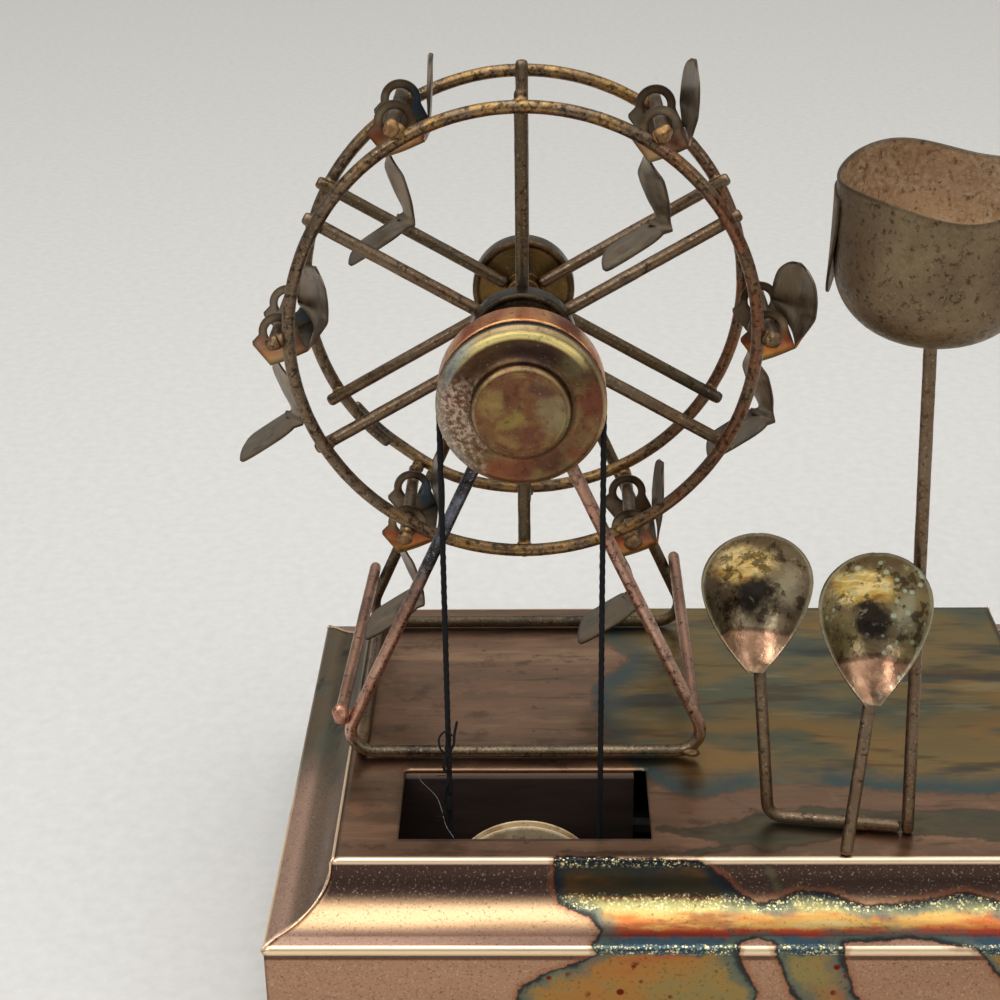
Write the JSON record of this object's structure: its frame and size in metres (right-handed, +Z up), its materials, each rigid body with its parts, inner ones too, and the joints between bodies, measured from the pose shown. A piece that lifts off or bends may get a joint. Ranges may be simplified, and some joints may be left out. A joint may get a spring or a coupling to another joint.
{
  "type": "ferris wheel music box",
  "caption": "Copper music box with a belt-driven ferris wheel of bent rod and hanging sheet seats, beside sheet-metal flowers on a coved base.",
  "frame": {"origin": "middle of the underside of the felt that the base stands on", "axes": "+X to the right seen from the front, +Y to the back, +Z up; the wheel turns about an axis along Y"},
  "size_m": [0.2252, 0.1733, 0.2284],
  "materials": {
    "copper_sheet": "polished copper with torch-tinted patches",
    "copper_rod": "darkened copper rod",
    "seat_sheet": "torch-tinted copper sheet",
    "brass": "aged brass",
    "dark_bronze": "dark oxidised bronze",
    "steel": "satin",
    "cast_zinc": "plain casting",
    "board": "dark stained board",
    "felt": "felt",
    "thread": "waxed braided thread"
  },
  "bodies": {
    "base": {"top_cover": "copper_sheet", "left_end_panel": "copper_sheet", "right_end_panel": "copper_sheet", "bottom_board": "board", "base_felt": "felt", "movement_board": "board", "movement_bedplate": "cast_zinc", "comb": "steel", "governor_bracket": "cast_zinc", "key_bushing": "brass", "front_stand_frame": "copper_rod", "rear_stand_frame": "copper_rod", "left_brace": "copper_rod", "right_brace": "copper_rod", "left_base_rail": "copper_rod", "front_bearing": "brass", "rear_bearing": "brass", "drive_belt": "thread", "left_leaf": "copper_sheet", "left_leaf_stem": "copper_rod", "right_leaf": "copper_sheet", "right_leaf_stem": "copper_rod", "tall_flower_cup": "copper_sheet", "tall_flower_sepal": "copper_sheet", "tall_flower_stem": "copper_rod"},
    "wheel": {"wheel_axle": "dark_bronze", "front_ring": "copper_rod", "rear_ring": "copper_rod", "front_hub": "dark_bronze", "rear_hub": "dark_bronze", "wheel_pulley": "brass", "front_spoke_1": "copper_rod", "front_spoke_2": "copper_rod", "front_spoke_3": "copper_rod", "front_spoke_4": "copper_rod", "front_spoke_5": "copper_rod", "front_spoke_6": "copper_rod", "rear_spoke_1": "copper_rod", "rear_spoke_2": "copper_rod", "rear_spoke_3": "copper_rod", "rear_spoke_4": "copper_rod", "rear_spoke_5": "copper_rod", "rear_spoke_6": "copper_rod", "seat_rod_1": "copper_rod", "seat_rod_2": "copper_rod", "seat_rod_3": "copper_rod", "seat_rod_4": "copper_rod", "seat_rod_5": "copper_rod", "seat_rod_6": "copper_rod"},
    "drive": {"spring_barrel": "brass", "movement_pulley": "brass"},
    "cylinder": {"music_cylinder": "brass"},
    "governor": {"governor": "steel"},
    "key": {"winding_key": "steel"},
    "seat_1_body": {"seat_1": "seat_sheet"},
    "seat_2_body": {"seat_2": "seat_sheet"},
    "seat_3_body": {"seat_3": "seat_sheet"},
    "seat_4_body": {"seat_4": "seat_sheet"},
    "seat_5_body": {"seat_5": "seat_sheet"},
    "seat_6_body": {"seat_6": "seat_sheet"}
  },
  "joints": [
    {"name": "wheel_spin", "type": "hinge", "parent": "base", "child": "wheel", "pos_m": [-0.045, 0, 0.1633], "axis": [0, 1, 0], "continuous": true},
    {"name": "seat_1_swing", "type": "hinge", "parent": "wheel", "child": "seat_1_body", "pos_m": [0.0155, 0.0195, 0.1633], "axis": [0, 1, 0], "continuous": true},
    {"name": "seat_2_swing", "type": "hinge", "parent": "wheel", "child": "seat_2_body", "pos_m": [-0.01205, 0.0195, 0.21404], "axis": [0, 1, 0], "continuous": true},
    {"name": "seat_3_swing", "type": "hinge", "parent": "wheel", "child": "seat_3_body", "pos_m": [-0.07479, 0.0195, 0.21596], "axis": [0, 1, 0], "continuous": true},
    {"name": "seat_4_swing", "type": "hinge", "parent": "wheel", "child": "seat_4_body", "pos_m": [-0.1055, 0.0195, 0.1633], "axis": [0, 1, 0], "continuous": true},
    {"name": "seat_5_swing", "type": "hinge", "parent": "wheel", "child": "seat_5_body", "pos_m": [-0.07525, 0.0195, 0.11091], "axis": [0, 1, 0], "continuous": true},
    {"name": "seat_6_swing", "type": "hinge", "parent": "wheel", "child": "seat_6_body", "pos_m": [-0.01753, 0.0195, 0.10939], "axis": [0, 1, 0], "continuous": true},
    {"name": "movement_spin", "type": "hinge", "parent": "base", "child": "drive", "pos_m": [-0.045, 0, 0.0315], "axis": [0, 1, 0], "continuous": true},
    {"name": "cylinder_spin", "type": "hinge", "parent": "base", "child": "cylinder", "pos_m": [-0.045, -0.0135, 0.0315], "axis": [1, 0, 0], "continuous": true},
    {"name": "governor_spin", "type": "hinge", "parent": "base", "child": "governor", "pos_m": [-0.00475, 0, 0.0388], "axis": [0, 1, 0], "continuous": true},
    {"name": "winding_key_turn", "type": "hinge", "parent": "base", "child": "key", "pos_m": [-0.045, 0.08, 0.0315], "axis": [0, 1, 0], "continuous": true}
  ],
  "couplings": [
    {"joint": "seat_1_swing", "follows": "wheel_spin", "ratio": -1},
    {"joint": "seat_2_swing", "follows": "wheel_spin", "ratio": -1},
    {"joint": "seat_3_swing", "follows": "wheel_spin", "ratio": -1},
    {"joint": "seat_4_swing", "follows": "wheel_spin", "ratio": -1},
    {"joint": "seat_5_swing", "follows": "wheel_spin", "ratio": -1},
    {"joint": "seat_6_swing", "follows": "wheel_spin", "ratio": -1},
    {"joint": "movement_spin", "follows": "wheel_spin", "ratio": 1},
    {"joint": "cylinder_spin", "follows": "wheel_spin", "ratio": -3.25},
    {"joint": "governor_spin", "follows": "wheel_spin", "ratio": 39}
  ]
}
